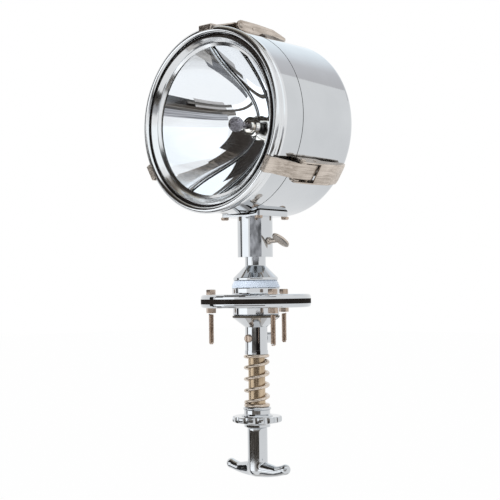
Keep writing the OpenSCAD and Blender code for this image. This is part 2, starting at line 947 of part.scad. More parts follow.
module latch_rivets() {
  rivet_head_r = pin_r + 1.1;
  color(nickel)
    for (angle = latch_angles, side = [0, 180])
      at_latch(angle)
        translate([0, -pivot_f, pivot_z])
          rotate([0, 90 + side, 0]) {
            translate([0, 0, ear_in])
              cylinder(r = pin_r, h = cheek_out + slide_fit - ear_in + eps);
            translate([0, 0, cheek_out + slide_fit])
              cylinder(r1 = rivet_head_r, r2 = rivet_head_r - 0.7, h = 1);
          }
}

// Channel lever: two deep cheeks, open in front for the strap, with a web along its arched tail
module latch_lever() {
  knee = tail_back - 21;
  bend = tail_back - 9;
  knee_drop = 1.4;
  bend_drop = 4.6;
  tail_top = drum_r + 4;
  cheek_back = -4;
  step_len = 6;
  step_z = drum_r + 4.3;
  corner_r = 6;
  far = 20;
  difference() {
    intersection() {
      side_plate(-cheek_out, cheek_out)
        polygon(concat(
          arc(-pivot_f, pivot_z, cheek_r, 270, 90, 12),
          [[web_start, lever_top], [knee, lever_top - knee_drop], [bend, lever_top - bend_drop],
           [tail_back, tail_top], [tail_back, tail_top - latch_t], [bend, tail_top - latch_t],
           [knee, step_z], [cheek_back + step_len, step_z], [cheek_back, lever_low]]
        ));
      translate([0, 0, drum_r - far])
        linear_extrude(3 * far)
          polygon(concat(
            [[cheek_out + 1, -pivot_f - far]],
            arc(cheek_out - corner_r + 1, tail_back - corner_r + eps, corner_r, 0, 90, 6),
            arc(-cheek_out + corner_r - 1, tail_back - corner_r + eps, corner_r, 90, 180, 6),
            [[-cheek_out - 1, -pivot_f - far]]
          ));
    }
    side_plate(-cheek_in, cheek_in)
      polygon([
        [-pivot_f - far, drum_r - far], [-pivot_f - far, lever_top + far], [web_start, lever_top + far],
        [web_start, lever_top - latch_t], [knee, lever_top - knee_drop - latch_t],
        [bend, lever_top - bend_drop - latch_t], [tail_back - latch_t, tail_top - latch_t],
        [tail_back - latch_t, drum_r - far]
      ]);
    cross_pin(-pivot_f, pivot_z, pin_r + running_fit, -2 * cheek_out, 2 * cheek_out);
    cross_pin(pin_y, pin_z, pin_r, -2 * cheek_out, 2 * cheek_out);
  }
}

module latch_pin() {
  cross_pin(pin_y, pin_z, pin_r, -cheek_out - strap_gap, cheek_out + strap_gap);
}

// Strap: hook over the rim, blade that climbs to the lever, and an eye under its end
module latch_strap() {
  hook_y = -rim_front - strap_gap;
  foot_y = bead_r + 1 - bead_f;
  shoulder_y = -pivot_f - ear_r - 1;
  strap_high = strap_low + latch_t;
  end_low = pin_z + pin_r + 1.5 * slide_fit;
  end_high = end_low + latch_t;
  bend = 0.3;
  hook_round = 0.6;
  difference() {
    side_plate(-strap_w / 2, strap_w / 2) {
      polygon([
        [hook_y, strap_low - hook_drop], [hook_y, strap_low], [foot_y, strap_low], [shoulder_y, end_low],
        [strap_end, end_low], [strap_end, end_high], [shoulder_y - bend, end_high],
        [foot_y - bend, strap_high],
        [hook_y - latch_t + hook_round, strap_high], [hook_y - latch_t, strap_high - hook_round],
        [hook_y - latch_t, strap_low - hook_drop]
      ]);
      translate([pin_y, pin_z])
        circle(r = eye_r, $fn = 48);
    }
    cross_pin(pin_y, pin_z, pin_r + running_fit, -strap_w, strap_w);
  }
}

module latch_lever_top() {
  color(nickel)
    at_latch(latch_angles[0])
      latch_lever();
}

module latch_lever_right() {
  color(nickel)
    at_latch(latch_angles[1])
      latch_lever();
}

module latch_lever_left() {
  color(nickel)
    at_latch(latch_angles[2])
      latch_lever();
}

module latch_pin_top() {
  color(nickel)
    at_latch(latch_angles[0])
      latch_pin();
}

module latch_pin_right() {
  color(nickel)
    at_latch(latch_angles[1])
      latch_pin();
}

module latch_pin_left() {
  color(nickel)
    at_latch(latch_angles[2])
      latch_pin();
}

module latch_strap_top() {
  color(nickel)
    at_latch(latch_angles[0])
      latch_strap();
}

module latch_strap_right() {
  color(nickel)
    at_latch(latch_angles[1])
      latch_strap();
}

module latch_strap_left() {
  color(nickel)
    at_latch(latch_angles[2])
      latch_strap();
}

upper_flange();
deck_gasket();
lower_flange();
deck_bolts();
deck_nuts();
bearing_dome();
stem_bell();
spindle_tube();
t_handle();
tension_spring();
clamp_cup();
cross_bolt();
cross_nut();
tension_nut();
saddle_bracket();
saddle_gasket();
saddle_screws();
thumbscrew();
rear_housing();
front_band();
bezel();
lens_gasket();
lens();
reflector();
bulb();
lamp_socket();
latch_brackets();
latch_rivets();
latch_lever_top();
latch_lever_right();
latch_lever_left();
latch_pin_top();
latch_pin_right();
latch_pin_left();
latch_strap_top();
latch_strap_right();
latch_strap_left();
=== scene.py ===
from math import asin, cos, pi, radians, sin, tan

import bmesh
import bpy
from mathutils import Matrix, Vector


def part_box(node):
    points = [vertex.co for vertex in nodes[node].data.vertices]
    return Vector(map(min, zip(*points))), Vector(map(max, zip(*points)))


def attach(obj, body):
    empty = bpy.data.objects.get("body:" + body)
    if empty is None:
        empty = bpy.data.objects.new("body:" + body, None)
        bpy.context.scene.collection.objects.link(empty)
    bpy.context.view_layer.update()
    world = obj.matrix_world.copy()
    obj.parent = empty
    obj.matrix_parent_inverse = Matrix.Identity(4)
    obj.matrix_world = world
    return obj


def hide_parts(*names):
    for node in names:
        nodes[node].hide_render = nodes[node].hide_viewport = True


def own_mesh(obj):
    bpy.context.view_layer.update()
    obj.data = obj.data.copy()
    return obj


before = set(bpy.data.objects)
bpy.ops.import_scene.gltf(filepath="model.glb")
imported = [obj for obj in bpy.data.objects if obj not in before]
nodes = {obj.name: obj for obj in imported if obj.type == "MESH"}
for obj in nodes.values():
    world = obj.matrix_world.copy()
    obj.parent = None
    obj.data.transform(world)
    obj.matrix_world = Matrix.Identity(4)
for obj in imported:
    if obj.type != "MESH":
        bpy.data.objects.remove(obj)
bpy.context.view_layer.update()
mm = 0.001
scene = bpy.context.scene
scene.view_settings.view_transform = "Standard"
print("frame loaded:", len(nodes), "nodes")

# camera at the photograph's angle, for a square picture
cameraSetup = {
    "azimuth": 41.55,  # degrees from the lens side towards +X
    "yaw": 0.272,
    "pitch": 2.211,  # looking slightly up
    "roll": -0.679,
    "distance": 1032.6,
    "height": 9.94,
    "lens": 80.17,
    "sensor": 36,
}


def placeCamera(setup):
    turn = radians(setup["azimuth"])
    data = bpy.data.cameras.new("photoCamera")
    data.lens = setup["lens"]
    data.sensor_width = setup["sensor"]
    camera = bpy.data.objects.new("photoCamera", data)
    scene.collection.objects.link(camera)
    spot = Vector((sin(turn) * setup["distance"], -cos(turn) * setup["distance"], setup["height"])) * mm
    look = Matrix.Rotation(turn + radians(setup["yaw"]), 4, "Z")
    look = look @ Matrix.Rotation(radians(90 + setup["pitch"]), 4, "X")
    look = look @ Matrix.Rotation(radians(setup["roll"]), 4, "Z")
    camera.matrix_world = Matrix.Translation(spot) @ look
    scene.camera = camera


placeCamera(cameraSetup)
print("camera placed")

# studio: white sweep, pale floor far below, and the cards that the polished metal mirrors
studio = {
    "ambient": 0.62,
    "ambientTint": (0.97, 0.985, 1),
    "floorDrop": 2600,
    "floorSize": 60000,
    "floorColour": (0.9, 0.9, 0.9),
    "floorGlow": 0.985,
    "flagSteps": 24,
    "flags": [
        # name, first and last azimuth, low and high elevation, radius, colour, streaks
        ("collarFigure", 8, 82, 7.4, 16.6, 400, (0.34, 0.34, 0.355), 0.9),
        ("stemFigure", 14, 76, 4.2, 7.4, 400, (0.10, 0.095, 0.09), 0.8),
        ("sleeveFigure", 40, 80, -11, -2, 400, (0.016, 0.013, 0.012), 0.6),
        ("sleeveFigureLeft", -5, 40, -9.4, -4.6, 400, (0.14, 0.13, 0.12), 0.7),
        ("shankFigure", -58, 60, -16.4, -12.3, 1000, (0.08, 0.07, 0.06), 0.8),
        ("rodFigure", -5, 70, -12.3, -5.9, 1000, (0.22, 0.2, 0.18), 0.7),
        ("dishFlag", 9, 42, -33, -10, 2100, (0.48, 0.46, 0.45), 0.3),
        ("softBox", -50, -3, -28, 6.5, 2000, (1.5, 1.53, 1.56), 0),
        ("lensShade", -53, -30, 6.5, 21, 1900, (0.03, 0.028, 0.026), 0),
        ("dishGlow", 12, 80, 9, 57, 2100, (1.16, 1.2, 1.22), 0),
        ("thinFlag", -69, -56, -30, 19, 1800, (0.02, 0.02, 0.02), 0),
    ],
    # the rear wall shades along X, from its first azimuth to the one in fadeTo
    "rearWall": {"from": 156, "to": 230, "fadeTo": 200, "low": 26, "high": 60, "radius": 2000,
                 "strength": 1.2,
                 "tones": [(0, (0.60, 0.59, 0.60)), (0.4, (0.66, 0.66, 0.68)), (0.7, (0.79, 0.83, 0.87)),
                           (1, (0.86, 0.93, 0.98))]},
    "barRadius": 1600,
    "bars": [
        # name, azimuth and elevation of its two ends, width in degrees, colour, streaks
        ("lowWedge", (-62, -66), (-58, -27), 24, (0.12, 0.122, 0.13), 0.6),
        ("lowBar", (60, -23), (41.5, -23), 10, (0.004, 0.003, 0.003), 0.4),
        ("darkShelf", (-58, 32), (10, 30), 31, (0.04, 0.034, 0.03), 0.6),
        ("brownLoft", (-58, 53), (4, 50), 30, (0.08, 0.068, 0.057), 0.7),
        ("brownRoof", (-75, 72), (22, 66), 18, (0.18, 0.155, 0.13), 0.7),
        ("ceiling", (150, 55), (-67, 55), 24, (0.42, 0.39, 0.33), 0.4),
        ("underside", (150, -55), (-67, -55), 24, (0.66, 0.64, 0.62), 0.2),
    ],
    "streakGrain": {"stretch": (3, 3, 70), "scale": 1.4, "detail": 6, "low": 0.3, "high": 0.7},
    "lamps": [
        # name, azimuth, elevation, distance, size, watts
        ("keyLamp", -30, 38, 1500, 900, 22),
        ("fillLamp", 95, 25, 1600, 900, 10),
        ("topLamp", 150, 70, 1500, 900, 10),
    ],
}


def around(azimuth, elevation, distance):
    turn, lift = radians(azimuth), radians(elevation)
    return Vector((sin(turn) * cos(lift), -cos(turn) * cos(lift), sin(lift))) * distance * mm


def feed(tree, node, links):
    for label, source in links.items():
        tree.links.new(source, node.inputs[label])


def addNode(tree, kind, values={}, links={}, **settings):
    # one shader node with its settings, the numbers on its sockets and what is joined to them
    made = tree.nodes.new(kind)
    for setting, choice in settings.items():
        setattr(made, setting, choice)
    for label, value in values.items():
        made.inputs[label].default_value = value
    feed(tree, made, links)
    return made


def emptyPaint(name):
    paint = bpy.data.materials.new(name)
    paint.use_nodes = True
    paint.node_tree.nodes.clear()
    return paint, paint.node_tree


def glowPaint(name, colour, streaks):
    paint, tree = emptyPaint(name)
    glow = addNode(tree, "ShaderNodeEmission", {"Color": (*colour, 1)})
    addNode(tree, "ShaderNodeOutputMaterial", links={"Surface": glow.outputs["Emission"]})
    if streaks:
        grain = studio["streakGrain"]
        where = addNode(tree, "ShaderNodeTexCoord")
        pull = addNode(tree, "ShaderNodeMapping", {"Scale": grain["stretch"]},
                       {"Vector": where.outputs["Object"]})
        noise = addNode(tree, "ShaderNodeTexNoise", {"Scale": grain["scale"], "Detail": grain["detail"]},
                        {"Vector": pull.outputs["Vector"]})
        spread = addNode(tree, "ShaderNodeMapRange", {"From Min": grain["low"], "From Max": grain["high"],
                                                      "To Min": 1 - streaks, "To Max": 1 + streaks},
                         {"Value": noise.outputs["Fac"]})
        feed(tree, glow, {"Strength": spread.outputs["Result"]})
    return paint


def meshObject(name, bm, material):
    mesh = bpy.data.meshes.new(name)
    bm.to_mesh(mesh)
    bm.free()
    mesh.materials.append(material)
    made = bpy.data.objects.new(name, mesh)
    scene.collection.objects.link(made)
    return made


def joinedPath(bm, points, closed=False):
    path = [bm.verts.new(point) for point in points]
    edges = [bm.edges.new(pair) for pair in zip(path, path[1:])]
    if closed:
        edges.append(bm.edges.new((path[-1], path[0])))
    return path + edges


def onlyMirrored(card):
    card.visible_camera = False
    card.visible_diffuse = False
    card.visible_shadow = False


def hangFlag(name, azimuthFrom, azimuthTo, low, high, radius, colour, streaks):
    bm = bmesh.new()
    spot = around(azimuthFrom, 0, radius)
    post = joinedPath(bm, [spot + Vector((0, 0, radius * tan(radians(lift)) * mm)) for lift in (low, high)])
    bmesh.ops.spin(bm, geom=post, cent=(0, 0, 0), axis=(0, 0, 1), dvec=(0, 0, 0),
                   angle=radians(azimuthTo - azimuthFrom), steps=studio["flagSteps"], use_merge=False)
    onlyMirrored(meshObject(name, bm, glowPaint(name + "Paint", colour, streaks)))


def hangRearWall(setup):
    # pale wall behind, shading from grey to sky: it gives the drum its soft band
    hangFlag("rearWall", setup["from"], setup["to"], setup["low"], setup["high"], setup["radius"],
             (1, 1, 1), 0)
    tree = bpy.data.materials["rearWallPaint"].node_tree
    where = addNode(tree, "ShaderNodeTexCoord")
    split = addNode(tree, "ShaderNodeSeparateXYZ", links={0: where.outputs["Object"]})
    greyX, skyX = (sin(radians(setup[end])) * setup["radius"] * mm for end in ("from", "fadeTo"))
    across = addNode(tree, "ShaderNodeMapRange", {"From Min": greyX, "From Max": skyX},
                     {"Value": split.outputs["X"]})
    ramp = addNode(tree, "ShaderNodeValToRGB", links={"Fac": across.outputs["Result"]})
    tones = ramp.color_ramp.elements
    while len(tones) < len(setup["tones"]):
        tones.new(0.5)
    for tone, (place, colour) in zip(tones, setup["tones"]):
        tone.position = place
        tone.color = (*colour, 1)
    glow = tree.nodes["Emission"]
    glow.inputs["Strength"].default_value = setup["strength"]
    feed(tree, glow, {"Color": ramp.outputs["Color"]})


def hangBar(name, fromEnd, toEnd, width, colour, streaks):
    radius = studio["barRadius"]
    first, last = around(*fromEnd, radius), around(*toEnd, radius)
    middle = (first + last) / 2
    along = (last - first).normalized()
    facing = -middle.normalized()
    turn = Matrix((along, facing.cross(along), facing)).transposed().to_4x4()
    spread = Matrix.Diagonal(((last - first).length, 2 * radius * mm * tan(radians(width / 2)), 1, 1))
    bm = bmesh.new()
    bmesh.ops.create_grid(bm, x_segments=1, y_segments=1, size=0.5,
                          matrix=Matrix.Translation(middle) @ turn @ spread)
    onlyMirrored(meshObject(name, bm, glowPaint(name + "Paint", colour, streaks)))


def hangLamp(name, azimuth, elevation, distance, size, watts):
    data = bpy.data.lights.new(name, "AREA")
    data.shape = "SQUARE"
    data.size = size * mm
    data.energy = watts
    lamp = bpy.data.objects.new(name, data)
    scene.collection.objects.link(lamp)
    spot = around(azimuth, elevation, distance)
    lamp.matrix_world = Matrix.Translation(spot) @ spot.to_track_quat("Z", "Y").to_matrix().to_4x4()
    lamp.visible_glossy = False
    lamp.visible_camera = False


def raysThatShowWhite(tree):
    path = addNode(tree, "ShaderNodeLightPath")
    seen = path.outputs["Is Camera Ray"]
    for other in ("Is Glossy Ray", "Is Transmission Ray"):
        either = addNode(tree, "ShaderNodeMath", links={0: seen, 1: path.outputs[other]}, operation="MAXIMUM")
        seen = either.outputs[0]
    return seen


def lightWorld(setup):
    world = bpy.data.worlds.new("whiteSweep")
    scene.world = world
    world.use_nodes = True
    tree = world.node_tree
    tree.nodes.clear()
    ambient = addNode(tree, "ShaderNodeBackground",
                      {"Color": (*setup["ambientTint"], 1), "Strength": setup["ambient"]})
    white = addNode(tree, "ShaderNodeBackground", {"Color": (1, 1, 1, 1), "Strength": 1})
    both = addNode(tree, "ShaderNodeMixShader",
                   links={"Fac": raysThatShowWhite(tree), 1: ambient.outputs[0], 2: white.outputs[0]})
    addNode(tree, "ShaderNodeOutputWorld", links={"Surface": both.outputs[0]})


def layFloor(setup):
    paint, tree = emptyPaint("floorPaint")
    matt = addNode(tree, "ShaderNodeBsdfDiffuse", {"Color": (*setup["floorColour"], 1)})
    glow = addNode(tree, "ShaderNodeEmission")
    share = addNode(tree, "ShaderNodeMath", {1: setup["floorGlow"]}, {0: raysThatShowWhite(tree)},
                    operation="MULTIPLY")
    both = addNode(tree, "ShaderNodeMixShader",
                   links={"Fac": share.outputs[0], 1: matt.outputs[0], 2: glow.outputs[0]})
    addNode(tree, "ShaderNodeOutputMaterial", links={"Surface": both.outputs[0]})
    bm = bmesh.new()
    bmesh.ops.create_grid(bm, x_segments=2, y_segments=2, size=setup["floorSize"] * mm,
                          matrix=Matrix.Translation((0, 0, -setup["floorDrop"] * mm)))
    floor = meshObject("paleFloor", bm, paint)


def buildStudio(setup):
    lightWorld(setup)
    layFloor(setup)
    for flag in setup["flags"]:
        hangFlag(*flag)
    hangRearWall(setup["rearWall"])
    for bar in setup["bars"]:
        hangBar(*bar)
    for lamp in setup["lamps"]:
        hangLamp(*lamp)


buildStudio(studio)
print("studio lit")


# shared effects, each a node group that gives masks, roughness and heights
def newGroup(name, inputs, outputs):
    group = bpy.data.node_groups.new(name, "ShaderNodeTree")
    for label, kind, value in inputs:
        socket = group.interface.new_socket(label, in_out="INPUT", socket_type=kind)
        if value is not None:
            socket.default_value = value
    for label in outputs:
        group.interface.new_socket(label, in_out="OUTPUT", socket_type="NodeSocketFloat")
    return group, group.nodes.new("NodeGroupInput").outputs, group.nodes.new("NodeGroupOutput")


def polishHaze():
    # soft smears and hairline marks of a hand-polished surface
    group, given, end = newGroup(
        "polishHaze",
        [("Vector", "NodeSocketVector", None), ("Smear Scale", "NodeSocketFloat", 30),
         ("Mark Scale", "NodeSocketFloat", 700), ("Low", "NodeSocketFloat", 0.03),
         ("High", "NodeSocketFloat", 0.1)],
        ["Roughness", "Smear", "Height"])
    smear = addNode(group, "ShaderNodeTexNoise", {"Detail": 5},
                    {"Vector": given["Vector"], "Scale": given["Smear Scale"]})
    marks = addNode(group, "ShaderNodeTexNoise", {"Detail": 2},
                    {"Vector": given["Vector"], "Scale": given["Mark Scale"]})
    blend = addNode(group, "ShaderNodeMix", {"Factor": 0.35},
                    {"A": smear.outputs["Fac"], "B": marks.outputs["Fac"]}, data_type="FLOAT")
    spread = addNode(group, "ShaderNodeMapRange", {"From Min": 0.35, "From Max": 0.68},
                     {"Value": blend.outputs["Result"], "To Min": given["Low"], "To Max": given["High"]})
    feed(group, end, {"Roughness": spread.outputs["Result"], "Smear": smear.outputs["Fac"],
                      "Height": marks.outputs["Fac"]})
    return group


def drawnGrain():
    # lines left by drawing or brushing, stretched along one way of the piece
    group, given, end = newGroup(
        "drawnGrain",
        [("Vector", "NodeSocketVector", None), ("Stretch", "NodeSocketVector", (1, 1, 1)),
         ("Scale", "NodeSocketFloat", 400)],
        ["Line", "Patch"])
    pull = addNode(group, "ShaderNodeVectorMath", links={0: given["Vector"], 1: given["Stretch"]},
                   operation="MULTIPLY")
    line = addNode(group, "ShaderNodeTexNoise", {"Detail": 4},
                   {"Vector": pull.outputs[0], "Scale": given["Scale"]})
    patch = addNode(group, "ShaderNodeTexNoise", {"Scale": 60, "Detail": 4}, {"Vector": given["Vector"]})
    feed(group, end, {"Line": line.outputs["Fac"], "Patch": patch.outputs["Fac"]})
    return group


hazeGroup = polishHaze()
grainGroup = drawnGrain()
metalBump, softBump = 0.2, 0.3  # depth of the bump in mm
hazeSpan, grainSpan = (0.3, 0.7), (0.36, 0.6)  # where the noise goes from dull to bright


def startFinish(name):
    finish = bpy.data.materials.new(name)
    finish.use_nodes = True
    tree = finish.node_tree
    shader = tree.nodes["Principled BSDF"]
    where = addNode(tree, "ShaderNodeTexCoord")
    return finish, tree, shader, where.outputs["Object"]


def placeGroup(tree, group, where, values):
    return addNode(tree, "ShaderNodeGroup", values, {"Vector": where}, node_tree=group)


def placeHaze(tree, where, look):
    low, high = look["rough"]
    return placeGroup(tree, hazeGroup, where, {"Smear Scale": look["smearScale"],
                                               "Mark Scale": look["markScale"], "Low": low, "High": high})


def colourBetween(tree, factor, look, span):
    ramp = addNode(tree, "ShaderNodeValToRGB", links={"Fac": factor})
    for tone, place, label in zip(ramp.color_ramp.elements, span, ("dull", "bright")):
        tone.position = place
        tone.color = (*look[label], 1)
    return ramp.outputs["Color"]


def bumpFrom(tree, height, strength, depth):
    bump = addNode(tree, "ShaderNodeBump", {"Strength": strength, "Distance": depth * mm}, {"Height": height})
    return bump.outputs["Normal"]


def hazedFinish(name, look, depth):
    finish, tree, shader, where = startFinish(name)
    haze = placeHaze(tree, where, look)
    feed(tree, shader, {"Base Color": colourBetween(tree, haze.outputs["Smear"], look, hazeSpan),
                        "Roughness": haze.outputs["Roughness"],
                        "Normal": bumpFrom(tree, haze.outputs["Height"], look["bump"], depth)})
    return finish, shader


def polishedMetal(name, look):
    finish, shader = hazedFinish(name, look, metalBump)
    shader.inputs["Metallic"].default_value = 1
    return finish


def softFinish(name, look):
    finish, shader = hazedFinish(name, look, softBump)
    shader.inputs["Specular IOR Level"].default_value = look["gloss"]
    return finish


def grainedMetal(name, look):
    finish, tree, shader, where = startFinish(name)
    grain = placeGroup(tree, grainGroup, where, {"Stretch": look["stretch"], "Scale": look["scale"]})
    tone = addNode(tree, "ShaderNodeMix", {"Factor": 0.6},
                   {"A": grain.outputs["Patch"], "B": grain.outputs["Line"]}, data_type="FLOAT")
    low, high = look["rough"]
    spread = addNode(tree, "ShaderNodeMapRange", {"From Min": 0.3, "From Max": 0.7, "To Min": low,
                                                  "To Max": high}, {"Value": grain.outputs["Line"]})
    shader.inputs["Metallic"].default_value = 1
    feed(tree, shader, {"Base Color": colourBetween(tree, tone.outputs["Result"], look, grainSpan),
                        "Roughness": spread.outputs["Result"],
                        "Normal": bumpFrom(tree, grain.outputs["Line"], look["bump"], metalBump)})
    return finish


def clearGlass(name, look):
    finish, tree, shader, where = startFinish(name)
    shader.inputs["Base Color"].default_value = (*look["tint"], 1)
    shader.inputs["Transmission Weight"].default_value = 1
    shader.inputs["IOR"].default_value = look["ior"]
    feed(tree, shader, {"Roughness": placeHaze(tree, where, look).outputs["Roughness"]})
    return finish


polishedLooks = {
    "chrome": {"smearScale": 22, "markScale": 900, "rough": (0.03, 0.08), "bump": 0.004,
               "dull": (0.565, 0.585, 0.605), "bright": (0.625, 0.645, 0.665)},
    "rimChrome": {"smearScale": 22, "markScale": 900, "rough": (0.1, 0.17), "bump": 0.004,
                  "dull": (0.69, 0.705, 0.72), "bright": (0.77, 0.785, 0.80)},
    "mirror": {"smearScale": 16, "markScale": 500, "rough": (0.01, 0.035), "bump": 0.003,
               "dull": (0.92, 0.945, 0.97), "bright": (0.965, 0.98, 0.995)},
}
grainedLooks = {
    "nickel": {"stretch": (1, 0.05, 1), "scale": 800, "rough": (0.2, 0.36), "bump": 0.1,
               "dull": (0.36, 0.31, 0.265), "bright": (0.66, 0.59, 0.525)},
    "boltSteel": {"stretch": (1, 1, 0.25), "scale": 600, "rough": (0.2, 0.34), "bump": 0.05,
                  "dull": (0.36, 0.28, 0.22), "bright": (0.56, 0.46, 0.385)},
    "socketMetal": {"stretch": (1, 0.2, 1), "scale": 500, "rough": (0.06, 0.14), "bump": 0.03,
                    "dull": (0.74, 0.68, 0.58), "bright": (0.94, 0.93, 0.91)},
    "springSteel": {"stretch": (1, 1, 1), "scale": 500, "rough": (0.14, 0.28), "bump": 0.05,
                    "dull": (0.50, 0.42, 0.34), "bright": (0.70, 0.62, 0.54)},
    "brass": {"stretch": (1, 1, 0.08), "scale": 700, "rough": (0.14, 0.3), "bump": 0.06,
              "dull": (0.36, 0.27, 0.175), "bright": (0.58, 0.46, 0.33)},
}
softLooks = {
    "nylon": {"smearScale": 60, "markScale": 900, "rough": (0.28, 0.42), "bump": 0.04, "gloss": 0.5,
              "dull": (0.50, 0.57, 0.67), "bright": (0.58, 0.65, 0.75)},
    "rubber": {"smearScale": 80, "markScale": 1500, "rough": (0.75, 0.95), "bump": 0.2, "gloss": 0.03,
               "dull": (0.010, 0.008, 0.007), "bright": (0.024, 0.020, 0.018)},
    "packing": {"smearScale": 120, "markScale": 1200, "rough": (0.5, 0.75), "bump": 0.2, "gloss": 0.3,
                "dull": (0.20, 0.17, 0.14), "bright": (0.36, 0.32, 0.27)},
    "paleCork": {"smearScale": 140, "markScale": 1400, "rough": (0.6, 0.85), "bump": 0.25, "gloss": 0.2,
                 "dull": (0.60, 0.54, 0.46), "bright": (0.80, 0.76, 0.70)},
    # painted shade: dark brown for the ring on the cup's rim that stands for the shade under the flange's
    # seat
    "rimShadeBrown": {"smearScale": 120, "markScale": 1200, "rough": (0.4, 0.6), "bump": 0.2, "gloss": 0.25,
                    "dull": (0.085, 0.07, 0.05), "bright": (0.17, 0.145, 0.11)},
}
glassLooks = {
    "lensGlass": {"smearScale": 25, "markScale": 400, "rough": (0.0, 0.012), "tint": (0.98, 0.99, 1.0),
                  "ior": 1.25},  # low, so that the glass doesn't veil the dish
    "bulbGlass": {"smearScale": 90, "markScale": 600, "rough": (0.02, 0.06), "tint": (0.15, 0.14, 0.155),
                  "ior": 1.5},
}
finishes = {}
for make, looks in ((polishedMetal, polishedLooks), (grainedMetal, grainedLooks), (softFinish, softLooks),
                    (clearGlass, glassLooks)):
    for name, look in looks.items():
        finishes[name] = make(name, look)
print("finishes mixed:", len(finishes))

finishOfSlot = {"chrome": "chrome", "nickel": "nickel", "spring_steel": "springSteel", "brass": "brass",
                "nylon": "nylon", "rubber": "rubber", "lens_glass": "lensGlass", "bulb_glass": "bulbGlass",
                "mirror": "mirror"}
finishOfNode = {"bezel": "rimChrome", "lens_gasket": "packing", "lamp_socket": "socketMetal",
                "saddle_screws": "boltSteel", "cross_bolt": "boltSteel"}
for node in nodes.values():
    for place, old in enumerate(node.data.materials):
        node.data.materials[place] = finishes[finishOfSlot[old.name.split(".")[0]]]
for nodeName, finish in finishOfNode.items():
    nodes[nodeName].data.materials[0] = finishes[finish]
print("solids dressed")

# pieces that stand for a solid where the real one has finer forms, and thin rings that lie on the solids
weldGap = {"made": 0.002, "thread": 0.01, "copied": 0.02}  # mm within which points are merged


def newPiece(name, bm, finish, body, standsFor=None, sharpFrom=35):
    piece = meshObject(name, bm, finishes[finish])
    piece.data.shade_smooth()
    piece.data.set_sharp_from_angle(angle=radians(sharpFrom))
    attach(piece, body)
    if standsFor:
        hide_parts(standsFor)
    return piece


def middleOf(nodeName):
    lowCorner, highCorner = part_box(nodeName)
    return (Vector(lowCorner) + Vector(highCorner)) / 2


def only(kind, parts):
    return [part for part in parts if isinstance(part, kind)]


def fullSpin(bm, geom, centre, axis, steps):
    bmesh.ops.spin(bm, geom=geom, cent=centre, axis=axis, dvec=(0, 0, 0), angle=2 * pi, steps=steps,
                   use_merge=True)


def weld(bm, gap):
    bmesh.ops.remove_doubles(bm, verts=bm.verts, dist=weldGap[gap] * mm)


def faceOutwards(bm):
    bmesh.ops.recalc_face_normals(bm, faces=bm.faces)


lensCentre = Vector((0, 0, middleOf("reflector").z))  # the lens axis runs along Y through it


def spinOnLens(profile, steps, closed=False):
    # profile in radius and distance forward, from pole to pole or closed, spun round the lens axis
    bm = bmesh.new()
    points = [lensCentre + Vector((r, -forward, 0)) * mm for r, forward in profile]
    fullSpin(bm, joinedPath(bm, points, closed), lensCentre, (0, 1, 0), steps)
    weld(bm, "made")
    faceOutwards(bm)
    return bm


reflectorDish = {"hole": 9.2, "rim": 70, "lip": 78.5, "lipForward": 50, "vertex": -1.2, "focal": 24.5,
                 "sheet": 0.8, "rings": 44, "steps": 180}


def spinReflector(size):
    # polished paraboloid with a flat lip
    wide = size["rim"] - size["hole"]
    radii = [size["hole"] + wide * ring / size["rings"] for ring in range(size["rings"] + 1)]
    front = [(r, size["vertex"] + r * r / (4 * size["focal"])) for r in radii]
    back = [(r, forward - size["sheet"]) for r, forward in reversed(front[:-1])]
    lipBack = size["lipForward"] - size["sheet"]
    lip = [(size["rim"], size["lipForward"]), (size["lip"], size["lipForward"]), (size["lip"], lipBack),
           (size["rim"] + size["sheet"], lipBack)]
    bm = spinOnLens(front + lip + back, size["steps"], closed=True)
    newPiece("reflectorDish", bm, "mirror", "head", "reflector")


spinReflector(reflectorDish)

lampBulb = {"focus": 23.3, "globe": 7.2, "stem": 3.0, "stemFoot": 5, "arcSteps": 20, "steps": 48,
            "cap": [(0, -10.2), (6, -10.2), (6, 6.4), (5.4, 7.4), (3.6, 7.8), (0, 7.8)]}


def blowBulb(size):
    # small globe at the focus on a slender stem, held in a turned cap
    neckTurn = pi - asin(size["stem"] / size["globe"])
    arc = [neckTurn * (1 - step / size["arcSteps"]) for step in range(size["arcSteps"] + 1)]
    glass = [(0, size["stemFoot"]), (size["stem"], size["stemFoot"])]
    glass += [(size["globe"] * sin(turn), size["focus"] + size["globe"] * cos(turn)) for turn in arc]
    newPiece("bulbGlobe", spinOnLens(glass, size["steps"]), "bulbGlass", "head", "bulb", 60)
    newPiece("bulbCap", spinOnLens(size["cap"], size["steps"]), "socketMetal", "head", "bulb")


blowBulb(lampBulb)

lensRings = {
    "steps": 180,
    "shadeRingSides": 14,
    "seals": {
        # radius, distance forward, thickness: black rings as painted shade in the groove inside the bezel's
        # bead and in the seam behind the front band
        "rimGrooveShade": (76.5, 58.9, 1.4),
        "bandSeamShade": (82.25, 28.4, 1.0),
    },
    "glass": {
        # finish, slot, profile in radius and distance forward: a pale seat and a polished trim over the edge
        "glassSeat": ("paleCork", "nylon", [(70.1, 50.05), (74.4, 50.05), (74.4, 50.9), (70.1, 50.9)]),
        "glassTrim": ("rimChrome", "chrome", [(70, 54.85), (70, 56.4), (69.4, 56.7), (66.9, 55.2),
                                              (66.9, 54.85)]),
    },
}


# a thin black tube round the lens axis, in the rubber finish: painted shade laid in a groove or seam
def layShadeRing(name, radius, forward, thick, size):
    bm = bmesh.new()
    start = lensCentre + Vector((radius, -forward, 0)) * mm
    ring = bmesh.ops.create_circle(bm, segments=size["shadeRingSides"], radius=thick / 2 * mm, cap_ends=False,
                                   matrix=Matrix.Translation(start))
    fullSpin(bm, ring["verts"] + bm.edges[:], lensCentre, (0, 1, 0), size["steps"])
    faceOutwards(bm)
    newPiece(name, bm, "rubber", "head")


